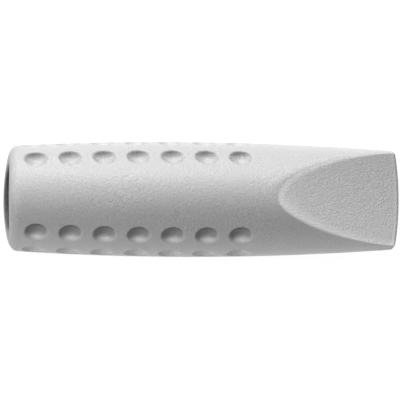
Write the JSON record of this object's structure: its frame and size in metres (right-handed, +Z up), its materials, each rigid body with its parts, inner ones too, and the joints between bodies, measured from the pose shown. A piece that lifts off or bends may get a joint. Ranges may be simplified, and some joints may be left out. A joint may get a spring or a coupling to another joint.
{
  "type": "pencil eraser topper",
  "caption": "Soft-triangular rubber eraser cap with dimpled grip faces, a blind round socket that pushes over a pencil's end, and a chisel-shaped tip.",
  "frame": {"origin": "centre of the pencil socket's mouth, in the plane of the rim", "axes": "+X along the socket's axis from the mouth to the tip, +Z up through the plain ridge as the cap lies on the face opposite it"},
  "size_m": [0.0445, 0.013, 0.013],
  "materials": {
    "eraser_rubber": "matte moulded"
  },
  "bodies": {
    "root": {"grip_sleeve": "eraser_rubber", "eraser_tip": "eraser_rubber"}
  },
  "joints": []
}
